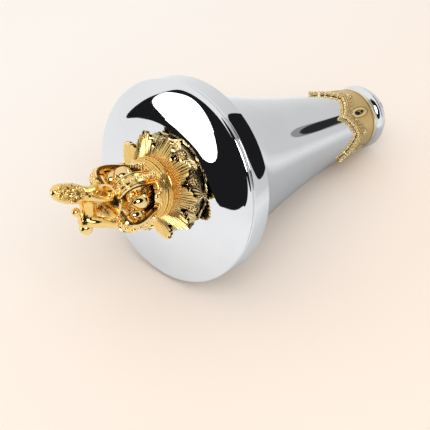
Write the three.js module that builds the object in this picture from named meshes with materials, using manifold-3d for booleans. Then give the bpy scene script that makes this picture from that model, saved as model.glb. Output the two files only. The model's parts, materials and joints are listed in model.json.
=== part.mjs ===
// Head of a drum major's ceremonial mace: a turned and chromed body lying on its side, with a cast
// and gilded finial (foliate base, leaf collar, open crown and crowned lion) on its domed front.
//
// Everything is first built about the mace's own axis. A "station" is a distance in millimetres
// along that axis: 0 is the seam between dome and bell, the staff end is positive. An "angle" turns
// about the axis from straight up. The last section lays the finished mace on its flat spots.
import * as THREE from "three";
import { mergeVertices } from "three/addons/utils/BufferGeometryUtils.js";
import Module from "manifold-3d";

const wasm = await Module();
wasm.setup();

// ---------------------------------------------------------------- driving dimensions, mm

const TAU = 2 * Math.PI;
const GAP = 0.3; // clearance between pieces that touch
const BODY_SIDES = 48;
const NECK_SIDES = 34;

const DOME = {
  rise: 6.2, // height of the face over the shoulder's widest ring
  squareness: 2.2, // exponent of the face's curve, 2 being a plain ellipse
  shoulder: { station: -3.7, radius: 65.5 },
  seamRadius: 62.6,
};

const RIM = { front: 0.9, rear: 12.6, radius: 64.8 };

// The flare behind the rim, from its tight cove to the neck.
const FLARE = [
  [13.0, 62.0],
  [18.5, 56.2],
  [27.0, 51.4],
  [48.0, 44.9],
  [75.4, 37.8],
  [105.0, 31.6],
  [138.1, 26.3],
  [162.0, 22.7],
  [184.0, 20.3],
];

const SOCKET = { radius: 14, floor: 147 };

const FERRULE = {
  front: 184.0 + GAP,
  rear: 197,
  neckRadius: 20.2,
  beadStation: 190.6,
  beadRadius: 23.1,
  endRadius: 20.4,
};

const NECK_BAND = {
  leaves: 5,
  phase: 44.5, // angle of one leaf's tip, degrees
  tip: 141.5,
  valley: 158.5,
  rear: 182.3,
  thickness: 1.2,
  slotStation: 164.5,
};

// The finial's screw stands a little above the body's axis, and all its castings with it.
const FINIAL_LIFT = 2.2;

const BASE = { rosettes: 10, radius: 31.4, waistRadius: 17, top: -20.6 };
const SCREW_HOLE = 2.6; // radius of the hole for the finial's screw

const COLLAR = {
  leaves: 10,
  phase: 8, // angle of one leaf's tip, degrees
  seatRadius: 21.5,
  seatStation: -23.6,
  tipRadius: 34.6,
  tipStation: -19.4,
  thickness: 2.4,
};

const CROWN = {
  arches: 4,
  phase: 30, // angle of one arch, degrees
  footStation: COLLAR.seatStation - GAP,
  archWidth: { root: 9.6, shoulder: 9.2, boss: 8.8 },
  archThickness: 2.8,
};

const CAP = { lobes: 8, puff: 0.12, floor: -53.3 };

const LION = { heading: -15, standsAt: -60.9 };

// ---------------------------------------------------------------- shared geometry

const radians = (degrees) => (degrees * Math.PI) / 180;

function onAxis(station, radius, angle) {
  return new THREE.Vector3(station, -radius * Math.sin(angle), radius * Math.cos(angle));
}

function solidOf(geometry) {
  const bare = new THREE.BufferGeometry();
  bare.setAttribute("position", geometry.getAttribute("position").clone());
  if (geometry.index) bare.setIndex(geometry.index.clone());
  const merged = mergeVertices(bare, 1e-4);
  const vertProperties = new Float32Array(merged.getAttribute("position").array);
  const triVerts = new Uint32Array(merged.index.array);
  const closed = () => new wasm.Manifold(new wasm.Mesh({ numProp: 3, vertProperties, triVerts }));
  const solid = closed();
  if (solid.volume() > 0) return solid;
  triVerts.reverse(); // each triangle is turned to face outwards
  return closed();
}

function geometryOf(solid) {
  const mesh = solid.getMesh();
  const positions = new Float32Array(mesh.numVert * 3);
  for (let i = 0; i < mesh.numVert; i += 1) {
    const start = i * mesh.numProp;
    positions.set(mesh.vertProperties.subarray(start, start + 3), i * 3);
  }
  const geometry = new THREE.BufferGeometry();
  geometry.setAttribute("position", new THREE.BufferAttribute(positions, 3));
  geometry.setIndex(new THREE.BufferAttribute(new Uint32Array(mesh.triVerts), 1));
  geometry.computeVertexNormals();
  return geometry;
}

const joined = (solids) => solids.reduce((sum, next) => sum.add(next));

// A turned piece. The profile runs as [station, radius], from the axis back to the axis.
function turned(profile, sides) {
  const points = profile.map(([station, radius]) => new THREE.Vector2(radius, station));
  return new THREE.LatheGeometry(points, sides).rotateZ(-Math.PI / 2);
}

// Skins a row of equal rings of points. A closed row is a hoop; an open one gets flat end caps.
function skinned(rings, closed) {
  const size = rings[0].length;
  const positions = rings.flat().flatMap((p) => [p.x, p.y, p.z]);
  const index = [];
  const last = closed ? rings.length : rings.length - 1;
  for (let i = 0; i < last; i += 1) {
    const here = i * size;
    const next = ((i + 1) % rings.length) * size;
    for (let j = 0; j < size; j += 1) {
      const k = (j + 1) % size;
      index.push(here + j, here + k, next + j, next + j, here + k, next + k);
    }
  }
  if (!closed) {
    const end = (rings.length - 1) * size;
    for (let j = 1; j < size - 1; j += 1) {
      index.push(0, j + 1, j);
      index.push(end, end + j, end + j + 1);
    }
  }
  const geometry = new THREE.BufferGeometry();
  geometry.setAttribute("position", new THREE.Float32BufferAttribute(positions, 3));
  geometry.setIndex(index);
  return geometry;
}

// A hoop about the axis. section(angle) gives its corners as [station, radius].
function hoop(section, steps) {
  const rings = [];
  for (let i = 0; i < steps; i += 1) {
    const angle = (TAU * i) / steps;
    rings.push(section(angle).map(([station, radius]) => onAxis(station, radius, angle)));
  }
  return skinned(rings, true);
}

// A limb of round section along a smooth path of stops [x, y, z, radius], with rounded ends.
function limb(stops, sides = 8, steps = 6) {
  const path = new THREE.CatmullRomCurve3(stops.map(([x, y, z]) => new THREE.Vector3(x, y, z)));
  const radii = new THREE.SplineCurve(stops.map(([, , , r], i) => new THREE.Vector2(i, r)));
  const frames = path.computeFrenetFrames(steps, false);
  const rings = [];
  const ringAt = (centre, radius, i) => {
    const ring = [];
    for (let j = 0; j < sides; j += 1) {
      const angle = (TAU * j) / sides;
      const across = frames.normals[i].clone().multiplyScalar(radius * Math.cos(angle));
      const along = frames.binormals[i].clone().multiplyScalar(radius * Math.sin(angle));
      ring.push(centre.clone().add(across).add(along));
    }
    return ring;
  };
  for (let i = 0; i <= steps; i += 1) {
    const centre = path.getPoint(i / steps);
    const radius = radii.getPoint(i / steps).y;
    const capped = (sign) => centre.clone().addScaledVector(frames.tangents[i], 0.6 * radius * sign);
    if (i === 0) rings.push(ringAt(capped(-1), radius * 0.6, i));
    rings.push(ringAt(centre, radius, i));
    if (i === steps) rings.push(ringAt(capped(1), radius * 0.6, i));
  }
  return skinned(rings, false);
}

function ball([x, y, z], [rx, ry, rz], sides = 10) {
  return new THREE.SphereGeometry(1, sides, sides - 2).scale(rx, ry, rz).translate(x, y, z);
}

// Reads a table of [position, value] rows as straight stretches.
function between(rows, position) {
  const next = rows.findIndex(([p]) => p >= position);
  if (next <= 0) return rows[next === 0 ? 0 : rows.length - 1][1];
  const [[p0, v0], [p1, v1]] = [rows[next - 1], rows[next]];
  return v0 + ((v1 - v0) * (position - p0)) / (p1 - p0);
}

// How far an angle is from the nearest of count evenly spaced spokes: 0 on a spoke, 1 midway.
function offSpoke(angle, count, phase) {
  const turns = ((angle - radians(phase)) / TAU) * count;
  return Math.abs(turns - Math.round(turns)) * 2;
}

// ---------------------------------------------------------------- chromed body

const flareCurve = new THREE.SplineCurve(FLARE.map(([s, r]) => new THREE.Vector2(s, r)));
const flarePoints = flareCurve.getPoints(FLARE.length + 2);

function flareRadius(station) {
  return between(flarePoints.map(({ x, y }) => [x, y]), station);
}

function domeProfile() {
  const { shoulder, seamRadius } = DOME;
  const profile = [];
  const faceSteps = 7;
  for (let i = 0; i <= faceSteps; i += 1) {
    const radius = shoulder.radius * Math.sin((Math.PI / 2) * (i / faceSteps));
    profile.push([domeFace(radius), radius]);
  }
  profile.push([-1.4, shoulder.radius - 0.7], [-GAP / 2, seamRadius], [-GAP / 2, 0]);
  return profile;
}

// Station of the dome's face at a radius.
function domeFace(radius) {
  const { rise, squareness, shoulder } = DOME;
  const share = radius / shoulder.radius;
  return shoulder.station - rise * Math.pow(1 - Math.pow(share, squareness), 1 / squareness);
}

function bellProfile() {
  return [
    [GAP / 2, 0],
    [GAP / 2, DOME.seamRadius],
    [RIM.front, RIM.radius - 0.4],
    [RIM.front + 0.5, RIM.radius],
    [RIM.rear - 0.4, RIM.radius],
    [RIM.rear, RIM.radius - 0.5],
    ...flarePoints.map(({ x, y }) => [x, y]),
    [FLARE.at(-1)[0], SOCKET.radius],
    [SOCKET.floor, SOCKET.radius],
    [SOCKET.floor, 0],
  ];
}

function ferruleProfile() {
  const { front, rear, neckRadius, beadStation, beadRadius, endRadius } = FERRULE;
  const swell = beadRadius - neckRadius;
  const profile = [
    [front, SOCKET.radius],
    [front, neckRadius - 0.6],
    [beadStation - 4.2, neckRadius],
  ];
  for (const turn of [-60, -20, 20, 60]) {
    const along = beadStation + 3.4 * Math.sin(radians(turn));
    profile.push([along, neckRadius + swell * Math.cos(radians(turn))]);
  }
  profile.push([beadStation + 4, endRadius], [rear - 0.5, endRadius]);
  profile.push([rear, endRadius - 0.5], [rear, SOCKET.radius]);
  return [...profile, profile[0]];
}

// ---------------------------------------------------------------- gilded neck band

// A sleeve on the neck whose front edge is cut into pointed leaves, with a pierced slot behind
// each tip and each valley.
function neckBandSolid() {
  const { leaves, phase, tip, valley, rear, thickness, slotStation } = NECK_BAND;
  const outline = [
    [0, 0],
    [0.18, 0.3],
    [0.5, 0.62],
    [0.82, 0.86],
    [1, 1],
  ];
  const section = (angle) => {
    const front = tip + (valley - tip) * between(outline, offSpoke(angle, leaves, phase));
    const stations = [front, (front + rear) / 2, rear];
    const inner = stations.map((s) => [s, flareRadius(s) + GAP]);
    const outer = stations.map((s) => [s, flareRadius(s) + GAP + thickness]);
    return [...inner, ...outer.reverse()];
  };
  const slot = (i) => {
    const pin = new THREE.CylinderGeometry(1.3, 1.3, 8, 6);
    pin.scale(2.2, 1, 1).translate(slotStation, flareRadius(slotStation) + 1, 0);
    pin.rotateX(radians(90 - phase - (360 * i) / (2 * leaves)));
    return solidOf(pin);
  };
  const slots = Array.from({ length: 2 * leaves }, (_, i) => slot(i));
  return solidOf(hoop(section, leaves * 12)).subtract(joined(slots));
}

// ---------------------------------------------------------------- gilded finial

// A ring of rosettes standing on the dome, drawn in to a waist under the leaf collar.
function finialBase() {
  const { rosettes, radius, waistRadius, top } = BASE;
  const section = (angle) => {
    const swell = 1 - offSpoke(angle, rosettes, COLLAR.phase + 180 / rosettes);
    const edge = radius - 4 * (1 - swell);
    const seat = domeFace(radius + FINIAL_LIFT) - 2 * GAP;
    return [
      [domeFace(0) - GAP, SCREW_HOLE],
      [top, SCREW_HOLE],
      [top, waistRadius + 0.5],
      [top + 2.6, waistRadius],
      [seat - 3, edge],
      [seat, edge - 1],
      [domeFace(0) - GAP, edge - 3],
    ];
  };
  return hoop(section, rosettes * 5);
}

// A nearly flat whorl of three-lobed leaves around the seat of the crown.
function leafCollar() {
  const { leaves, phase, seatRadius, seatStation, tipRadius, tipStation, thickness } = COLLAR;
  const outline = [
    [0, 1],
    [0.25, 0.88],
    [0.5, 0.8],
    [0.75, 0.66],
    [1, 0.3],
  ];
  const section = (angle) => {
    const reach = between(outline, offSpoke(angle, leaves, phase));
    const edge = seatRadius + (tipRadius - seatRadius) * reach;
    const fall = seatStation + (tipStation - seatStation) * reach;
    return [
      [seatStation + thickness, SCREW_HOLE],
      [seatStation, SCREW_HOLE],
      [seatStation, seatRadius],
      [fall, edge],
      [fall + thickness, edge - 0.3],
      [seatStation + thickness, 17.5],
    ];
  };
  return hoop(section, leaves * 8);
}

// Circlet and arches of the crown, cast in one. The arches rise and turn in to a round plate.
function crownSolid() {
  const { arches, phase, footStation, archWidth, archThickness } = CROWN;
  const circlet = hoop(
    () => [
      [footStation, 15.0],
      [-34.5, 14.4],
      [-35.0, 17.4],
      [-30.5, 18.2],
      [-27.8, 18.7],
      [footStation, 19.3],
    ],
    34,
  );
  const ridge = new THREE.SplineCurve(
    [
      [-32.0, 16.2],
      [-38.0, 17.6],
      [-44.0, 19.6],
      [-50.5, 21.0],
      [-55.8, 20.6],
      [-58.9, 17.6],
      [-59.2, 13.0],
      [-59.2, 0],
    ].map(([s, r]) => new THREE.Vector2(s, r)),
  );
  const archSteps = 10;
  const halfWidths = [
    [0, archWidth.root / 2],
    [0.7, archWidth.shoulder / 2],
    [1, archWidth.boss / 2],
  ];
  const arch = (i) => {
    const angle = radians(phase + (360 * i) / arches);
    const side = onAxis(0, 1, angle + TAU / 4);
    const rings = [];
    for (let k = 0; k <= archSteps; k += 1) {
      const { x, y } = ridge.getPoint(k / archSteps);
      const slope = ridge.getTangent(k / archSteps);
      const out = onAxis(-slope.y, slope.x, angle).multiplyScalar(archThickness / 2);
      const half = side.clone().multiplyScalar(between(halfWidths, k / archSteps));
      const centre = onAxis(x, y, angle);
      const corner = (a, b) => centre.clone().addScaledVector(out, a).addScaledVector(half, b);
      rings.push([corner(-1, -1), corner(-1, 1), corner(0.6, 1), corner(1, 0), corner(0.6, -1)]);
    }
    return solidOf(skinned(rings, false));
  };
  // A fleur stands on the circlet in each opening.
  const fleur = (i) => {
    const { x, y, z } = onAxis(-36.8, 17.4, radians(phase + (360 * (i + 0.5)) / arches));
    return solidOf(ball([x, y, z], [3.4, 2.2, 2.2], 6));
  };
  const plate = turned(
    [
      [-57.4, 0],
      [-57.4, 10.0],
      [-59.4, 11.2],
      [-60.6, 10.6],
      [-60.6, 0],
    ],
    20,
  );
  const around = Array.from({ length: arches }, (_, i) => arch(i).add(fleur(i)));
  return joined([solidOf(circlet), solidOf(plate), ...around]);
}

// Polished cap inside the crown, gathered into puffed lobes.
function crownCap() {
  const profile = [
    [COLLAR.seatStation - GAP, 13.4],
    [-36.0, 13.4],
    [-43.0, 15.6],
    [-49.0, 16.4],
    [-52.0, 13.0],
    [CAP.floor, 5.0],
  ];
  const sides = 40;
  const rings = profile.map(([station, radius], level) => {
    const puff = level > 1 ? CAP.puff : 0;
    const ring = [];
    for (let j = 0; j < sides; j += 1) {
      const angle = (TAU * j) / sides;
      const lobe = 1 - offSpoke(angle, CAP.lobes, CROWN.phase);
      ring.push(onAxis(station, radius * (1 + puff * (lobe - 0.5)), angle));
    }
    return ring;
  });
  return skinned(rings, false);
}

// Lion standing on the crown with its head turned to its right, x forward, y left, z up from
// the soles of its feet.
function lionSolid() {
  const trunk = [
    [-8.0, 0, 16.8, 4.4],
    [-2.0, 0, 15.4, 4.4],
    [3.0, 0, 15.4, 4.6],
    [9.6, 0, 16.8, 5.2],
  ];
  const torso = limb(trunk, 9, 5);
  const mane = limb([[9.8, 0, 18.4, 5.5], [12.2, 0, 24.5, 6.1], [14.0, 0, 30.4, 6.2]], 9, 4);
  const headCrown = limb([[14.6, 0, 32.4, 5.8], [15.8, 0, 35.2, 5.3], [16.6, 0, 37.4, 3.8]], 9, 3);
  const face = ball([14.0, -4.6, 30.2], [3.2, 3.2, 3.4]);
  const tail = [
    [-8.6, 0, 19.6, 1.4],
    [-7.0, 0, 21.4, 1.2],
    [-3.4, -0.4, 22.0, 1.2],
    [-0.6, -0.8, 23.4, 1.4],
    [1.6, -1.0, 25.0, 2.6],
  ];
  const rightHindLeg = [
    [-6.8, -2.0, 15.6, 3.8],
    [-7.6, -4.8, 12.4, 3.5],
    [-9.0, -6.6, 7.0, 3.0],
    [-11.0, -8.2, 2.5, 2.2],
    [-8.8, -8.6, 1.8, 1.7],
  ];
  const leftHindLeg = [
    [-5.4, 2.0, 15.6, 3.8],
    [-3.0, 4.4, 10.6, 2.9],
    [-4.8, 5.4, 6.0, 2.2],
    [-5.8, 6.0, 2.1, 1.9],
    [-3.4, 6.2, 1.8, 1.7],
  ];
  const rightForeleg = [
    [9.0, -3.2, 16.4, 3.3],
    [6.4, -4.2, 11.0, 2.4],
    [4.6, -4.8, 5.0, 2.0],
    [4.4, -5.0, 2.1, 1.8],
    [6.6, -5.0, 1.8, 1.6],
  ];
  const leftForeleg = [
    [9.0, 3.2, 16.4, 3.3],
    [9.6, 4.2, 10.0, 2.3],
    [10.4, 5.0, 4.0, 1.9],
    [12.2, 5.4, 1.9, 1.7],
  ];
  const legs = [rightHindLeg, leftHindLeg, rightForeleg, leftForeleg].map((stops) => limb(stops, 7, 7));
  return joined([torso, mane, headCrown, face, limb(tail, 6, 9), ...legs].map(solidOf));
}

// Turns the lion's frame to the mace's: its up is the finial's outward end, its front the heading.
function lionPlacement() {
  const heading = radians(LION.heading);
  const forward = onAxis(0, 1, heading);
  const up = new THREE.Vector3(-1, 0, 0);
  const left = up.clone().cross(forward);
  const placement = new THREE.Matrix4().makeBasis(forward, left, up);
  return placement.setPosition(LION.standsAt, 0, 0);
}

// ---------------------------------------------------------------- laying the mace down

// The rim's rear edge and the ferrule's bead meet the ground; both are shaved by a small flat.
const FLAT_DEPTH = 0.45;
const tilt = Math.atan2(RIM.radius - FERRULE.beadRadius, FERRULE.beadStation - RIM.rear);
const axisHeight = RIM.radius * Math.cos(tilt) + RIM.rear * Math.sin(tilt) - FLAT_DEPTH;
const laid = new THREE.Matrix4().makeRotationY(tilt).setPosition(0, 0, axisHeight);

const ground = solidOf(new THREE.BoxGeometry(600, 300, 200).translate(0, 0, -100));

function laidDown(geometry) {
  return solidOf(geometry.applyMatrix4(laid));
}

const onFinial = (geometry) => geometry.translate(0, 0, FINIAL_LIFT);

const chrome = { color: 0xd5d7d8, metalness: 1, roughness: 0.05 };
const gilt = { color: 0xd9a441, metalness: 1, roughness: 0.25 };

const pieces = [
  ["dome", turned(domeProfile(), BODY_SIDES), chrome],
  ["bell", turned(bellProfile(), BODY_SIDES), chrome],
  ["neck_ferrule", turned(ferruleProfile(), NECK_SIDES), chrome],
  ["neck_band", geometryOf(neckBandSolid()), gilt],
  ["finial_base", onFinial(finialBase()), gilt],
  ["leaf_collar", onFinial(leafCollar()), gilt],
  ["crown", onFinial(geometryOf(crownSolid())), gilt],
  ["crown_cap", onFinial(crownCap()), gilt],
  ["lion", onFinial(geometryOf(lionSolid()).applyMatrix4(lionPlacement())), gilt],
].map(([name, geometry, finish]) => {
  const solid = laidDown(geometry).subtract(ground);
  const mesh = new THREE.Mesh(geometryOf(solid), new THREE.MeshStandardMaterial(finish));
  mesh.name = name;
  return mesh;
});

const mace = new THREE.Group();
mace.add(...pieces);

// The origin is on the ground, under the middle of the mace.
const box = new THREE.Box3().setFromObject(mace);
const middle = box.getCenter(new THREE.Vector3());
mace.position.set(-middle.x, -middle.y, -box.min.z);
const root = new THREE.Group();
root.add(mace);

export default root;
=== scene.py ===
# Head of a drum major's ceremonial mace, lying loose on a table. A spun and chromed body carries a
# cast and gilded finial: a foliate base, a collar of leaves, an open crown and a lion.
import json
import math

import bmesh
import bpy
from mathutils import Matrix, Vector, noise


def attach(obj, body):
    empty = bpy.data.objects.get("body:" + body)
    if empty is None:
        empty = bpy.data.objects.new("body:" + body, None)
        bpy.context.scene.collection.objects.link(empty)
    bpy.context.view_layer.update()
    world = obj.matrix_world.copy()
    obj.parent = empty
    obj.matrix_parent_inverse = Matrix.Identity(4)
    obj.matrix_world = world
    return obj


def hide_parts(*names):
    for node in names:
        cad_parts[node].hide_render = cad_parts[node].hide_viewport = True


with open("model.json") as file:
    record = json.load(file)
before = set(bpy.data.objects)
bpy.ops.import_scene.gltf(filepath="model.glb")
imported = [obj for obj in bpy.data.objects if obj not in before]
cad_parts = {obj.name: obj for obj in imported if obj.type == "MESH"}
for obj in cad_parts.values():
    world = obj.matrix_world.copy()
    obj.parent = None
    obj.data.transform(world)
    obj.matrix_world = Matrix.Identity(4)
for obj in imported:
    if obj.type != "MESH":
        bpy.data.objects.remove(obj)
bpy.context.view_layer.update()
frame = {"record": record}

# ---------------------------------------------------------------- setting out
# The mace lies on the rim of its bell and on its ferrule, so its axis slopes. Each piece is made
# about that axis in millimetres: x straight up from the axis, y to the mace's near side, and z,
# the station, from the seam behind the dome towards the staff. LAID puts it down, in metres.

TAU = 2 * math.pi
MM = 0.001
STAFF_END = 197.0

staff_seat = frame["record"]["mounts"][0]
axis = Vector(staff_seat["axis"])
seat_point = Vector(staff_seat["pos_m"])
seam = Vector((seat_point.x, 0, seat_point.z)) - axis * STAFF_END * MM
turned_to_axis = Matrix(
    (
        (-axis.z, 0, axis.x, 0),
        (0, -1, 0, 0),
        (axis.x, 0, axis.z, 0),
        (0, 0, 0, 1),
    )
)
LAID = Matrix.Translation(seam) @ turned_to_axis @ Matrix.Scale(MM, 4)


def on_mace(station, radius, angle):
    """A point about the axis. The angle is in degrees, 0 at the top and 90 on the near side."""
    turn = math.radians(angle)
    return Vector((radius * math.cos(turn), radius * math.sin(turn), station))


def arc(station, radius, size, start, end, steps):
    """A round stretch of a profile. 0 degrees points away from the axis, 90 to the staff."""
    turns = [math.radians(start + (end - start) * i / steps) for i in range(steps + 1)]
    return [(station + size * math.sin(t), radius + size * math.cos(t)) for t in turns]


def spun(profile, steps):
    """Turns a profile of (station, radius) points about the axis."""
    bm = bmesh.new()
    verts = [bm.verts.new((radius, 0, station)) for station, radius in profile]
    edges = [bm.edges.new(pair) for pair in zip(verts, verts[1:])]
    bmesh.ops.spin(
        bm,
        geom=verts + edges,
        cent=(0, 0, 0),
        axis=(0, 0, 1),
        dvec=(0, 0, 0),
        angle=TAU,
        steps=steps,
        use_merge=True,
        use_normal_flip=False,
        use_duplicate=False,
    )
    return bm


def flowing(stops, share):
    """A point on the smooth curve through a row of stops, share running from 0 to 1."""
    place = share * (len(stops) - 1)
    here = min(int(place), len(stops) - 2)
    t = place - here
    wanted = (max(here - 1, 0), here, here + 1, min(here + 2, len(stops) - 1))
    a, b, c, d = (Vector(stops[i]) for i in wanted)
    curve = 2 * b + (c - a) * t + (2 * a - 5 * b + 4 * c - d) * t**2
    return 0.5 * (curve + (3 * b - a - 3 * c + d) * t**3)


def cut_at_table(bm):
    """Gives a laid piece its small flat where it meets the table."""
    everything = bm.verts[:] + bm.edges[:] + bm.faces[:]
    bmesh.ops.bisect_plane(
        bm, geom=everything, dist=1e-7, plane_co=(0, 0, 0), plane_no=(0, 0, 1), clear_inner=True
    )
    bmesh.ops.holes_fill(bm, edges=[e for e in bm.edges if e.is_boundary], sides=0)


def finished(name, bm, material, stands_for, crease=40.0, weld=0.003, on_table=False):
    """Welds, lays down and shades a piece made in millimetres, and sets it on the mace."""
    bmesh.ops.remove_doubles(bm, verts=bm.verts, dist=weld)
    bmesh.ops.dissolve_degenerate(bm, edges=bm.edges, dist=1e-5)
    bmesh.ops.recalc_face_normals(bm, faces=bm.faces)
    bmesh.ops.transform(bm, matrix=LAID, verts=bm.verts)
    if on_table:
        cut_at_table(bm)
    sharp = math.radians(crease)
    for edge in bm.edges:
        edge.smooth = edge.is_manifold and edge.calc_face_angle(0.0) < sharp
    for face in bm.faces:
        face.smooth = True
    mesh = bpy.data.meshes.new(name)
    bm.to_mesh(mesh)
    bm.free()
    piece = bpy.data.objects.new(name, mesh)
    piece.data.materials.append(material)
    bpy.context.scene.collection.objects.link(piece)
    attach(piece, "root")
    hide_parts(stands_for)
    return piece


# ---------------------------------------------------------------- chromed body
# Dome, bell and ferrule are spun or turned brass, polished and chromed to a mirror. The finish is
# all but flawless: a faint haze of handling and the slightest waviness of the spinning.


class Value:
    """A shader socket that takes part in arithmetic. Each operator adds its Math node."""

    def __init__(self, finish, socket):
        self.finish = finish
        self.socket = socket

    def maths(self, operation, first, second=0.0):
        settings = {"operation": operation}
        made = self.finish.node("ShaderNodeMath", settings, {0: first, 1: second})
        return Value(self.finish, made.outputs[0])

    def __add__(self, other):
        return self.maths("ADD", self, other)

    def __radd__(self, other):
        return self.maths("ADD", other, self)

    def __sub__(self, other):
        return self.maths("SUBTRACT", self, other)

    def __rsub__(self, other):
        return self.maths("SUBTRACT", other, self)

    def __mul__(self, other):
        return self.maths("MULTIPLY", self, other)

    def __rmul__(self, other):
        return self.maths("MULTIPLY", other, self)

    def at_most(self, other):
        return self.maths("MINIMUM", self, other)

    def at_least(self, other):
        return self.maths("MAXIMUM", self, other)

    def as_share(self):
        return self.at_least(0.0).at_most(1.0)


class Finish:
    """A material and its nodes."""

    def __init__(self, name):
        self.material = bpy.data.materials.new(name)
        self.material.use_nodes = True
        self.tree = self.material.node_tree
        self.shader = self.tree.nodes["Principled BSDF"]
        self.place = self.node("ShaderNodeTexCoord").outputs["Object"]

    def node(self, kind, settings=None, sockets=None):
        """Adds a node, with its settings made first and then its sockets filled or linked."""
        made = self.tree.nodes.new(kind)
        for name, value in (settings or {}).items():
            setattr(made, name, value)
        for name, value in (sockets or {}).items():
            self.fill(made.inputs[name], value)
        return made

    def fill(self, socket, value):
        if isinstance(value, Value):
            self.tree.links.new(value.socket, socket)
        elif isinstance(value, bpy.types.NodeSocket):
            self.tree.links.new(value, socket)
        else:
            socket.default_value = value

    def noise(self, scale, detail=3.0, roughness=0.5):
        sockets = {"Vector": self.place, "Scale": scale, "Detail": detail, "Roughness": roughness}
        return Value(self, self.node("ShaderNodeTexNoise", None, sockets).outputs["Fac"])

    def attribute(self, name):
        made = self.node("ShaderNodeAttribute", {"attribute_name": name})
        return Value(self, made.outputs["Fac"])

    def blend(self, factor, first, second):
        settings = {"data_type": "RGBA"}
        made = self.node("ShaderNodeMix", settings, {0: factor, 6: first, 7: second})
        return made.outputs[2]

    def bump(self, height, distance):
        sockets = {"Height": height, "Distance": distance, "Strength": 1.0}
        self.fill(self.shader.inputs["Normal"], self.node("ShaderNodeBump", None, sockets).outputs[0])

    def set(self, name, value):
        self.fill(self.shader.inputs[name], value)

    def matt(self):
        self.set("Roughness", 0.9)
        self.set("Specular IOR Level", 0.0)


CHROME = (0.85, 0.86, 0.87, 1.0)
CHROME_HAZED = (0.81, 0.82, 0.83, 1.0)


def chrome_finish():
    finish = Finish("polished_chrome")
    haze = finish.noise(38.0, 4.0, 0.55)
    fine_haze = finish.noise(420.0, 2.0)
    cloud = ((haze - 0.5) * 2.4 + 0.25).as_share()
    finish.set("Base Color", finish.blend(cloud, CHROME, CHROME_HAZED))
    finish.set("Metallic", 1.0)
    finish.set("Roughness", cloud * 0.018 + fine_haze * 0.012 + 0.012)
    return finish.material


chrome = chrome_finish()

SPIN_STEPS = 288

SHOULDER = {"station": -3.7, "radius": 65.5, "lip": 1.1}
DOME_RISE = 6.2
DOME_SQUARENESS = 2.2
# Behind its lip the dome steps in, to sit in the mouth of the bell.
DOME_SEAT = [(-2.6, 63.2), (-2.3, 62.5), (-0.15, 62.4), (-0.15, 0)]


def dome_face(radius):
    """Station of the dome's face at a radius."""
    share = min(radius / SHOULDER["radius"], 1.0)
    height = (1.0 - share**DOME_SQUARENESS) ** (1.0 / DOME_SQUARENESS)
    return SHOULDER["station"] - DOME_RISE * height


def dome_profile():
    steps = 96
    radii = [SHOULDER["radius"] * math.sin(TAU / 4 * i / steps) for i in range(steps + 1)]
    face = [(dome_face(radius), radius) for radius in radii]
    lip = SHOULDER["lip"]
    rolled = arc(SHOULDER["station"], SHOULDER["radius"] - lip, lip, 0, 90, 12)[1:]
    return [*face, *rolled, *DOME_SEAT]


finished("chrome_dome", spun(dome_profile(), SPIN_STEPS), chrome, "dome")

# ---------------------------------------------------------------- bell
# The trumpet-shaped body, spun in one. A fine bead fills the seam behind the dome, the plain rim
# behind it is cylindrical, and the flare sweeps from a tight cove to the neck, bored for the staff.

BELL_MOUTH = [(0.15, 0), (0.15, 62.7), (-2.3, 62.7)]
SEAM_BEAD = {"station": -1.8, "radius": 63.55, "size": 0.5}
RIM = {"front": -1.2, "rear": 12.6, "radius": 64.8, "edge": 0.7}
FLARE = {"start": 13.0, "end": 184.0, "neck": 4.32, "cove": (6.3, 5.52), "sweep": (51.4, 146.0)}
SOCKET = {"radius": 14.0, "floor": 147.0}


def flare_radius(station):
    """The flare is two fading curves: the tight cove behind the rim and the long sweep."""
    along = station - FLARE["start"]
    cove_depth, cove_length = FLARE["cove"]
    sweep_depth, sweep_length = FLARE["sweep"]
    cove = cove_depth * math.exp(-along / cove_length)
    sweep = sweep_depth * math.exp(-along / sweep_length)
    return FLARE["neck"] + cove + sweep


def bell_profile():
    bead = arc(SEAM_BEAD["station"], SEAM_BEAD["radius"], SEAM_BEAD["size"], -90, 75, 10)
    edge = RIM["edge"]
    shoulder = RIM["radius"] - edge
    front = arc(RIM["front"] + edge, shoulder, edge, -80, 0, 8)
    rear = arc(RIM["rear"] - edge, shoulder, edge, 0, 80, 8)
    steps = 110
    length = FLARE["end"] - FLARE["start"]
    stations = [FLARE["start"] + length * (i / steps) ** 1.6 for i in range(steps + 1)]
    flare = [(station, flare_radius(station)) for station in stations]
    bore = [
        (FLARE["end"], SOCKET["radius"]),
        (SOCKET["floor"], SOCKET["radius"]),
        (SOCKET["floor"], 0),
    ]
    return [*BELL_MOUTH, *bead, *front, *rear, *flare, *bore]


finished(
    "chrome_bell", spun(bell_profile(), SPIN_STEPS), chrome, "bell", on_table=True
)

# ---------------------------------------------------------------- staff ferrule
# A turned collar at the end of the neck, with one fat bead, that takes the shoulder of the staff.

FERRULE = {
    "front": 184.3,
    "neck": 20.2,
    "step": 186.2,
    "bead": (190.6, 18.7, 4.4),
    "end": 20.4,
    "edge": 0.5,
}


def ferrule_profile():
    bead_station, bead_centre, bead_size = FERRULE["bead"]
    bead = arc(bead_station, bead_centre, bead_size, -68, 66, 26)
    edge = FERRULE["edge"]
    front = arc(FERRULE["front"] + edge, FERRULE["neck"] - edge, edge, -90, 0, 6)
    rear = arc(STAFF_END - edge, FERRULE["end"] - edge, edge, 0, 90, 6)
    mouth = [(STAFF_END, SOCKET["radius"]), (FERRULE["front"], SOCKET["radius"])]
    return [*front, (FERRULE["step"], FERRULE["neck"]), *bead, *rear, *mouth, front[0]]


finished(
    "staff_ferrule", spun(ferrule_profile(), 192), chrome, "neck_ferrule", on_table=True
)

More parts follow.
